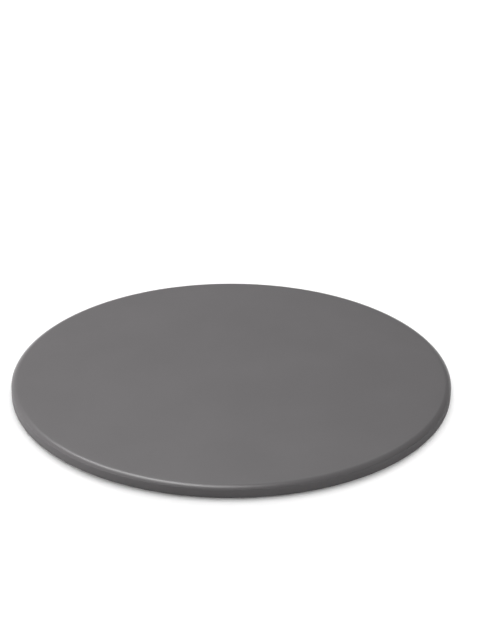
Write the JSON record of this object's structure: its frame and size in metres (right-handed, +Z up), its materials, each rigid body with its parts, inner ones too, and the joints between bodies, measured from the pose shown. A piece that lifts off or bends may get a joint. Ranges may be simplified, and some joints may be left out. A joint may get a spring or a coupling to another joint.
{
  "type": "pizza stone",
  "caption": "Round flat glazed baking stone with an eased rim and an unglazed foot ring, for baking pizza and bread in an oven or on a grill.",
  "frame": {"origin": "centre of the plane that the foot ring rests on", "axes": "+Z up, square to the baking face; the stone is round about +Z, so +X and +Y are any two square directions in the resting plane"},
  "size_m": [0.36, 0.36, 0.01],
  "materials": {
    "cordierite": "matte",
    "glaze": "satin"
  },
  "bodies": {
    "root": {"stone_body": "cordierite", "glaze_coat": "glaze"}
  },
  "joints": []
}
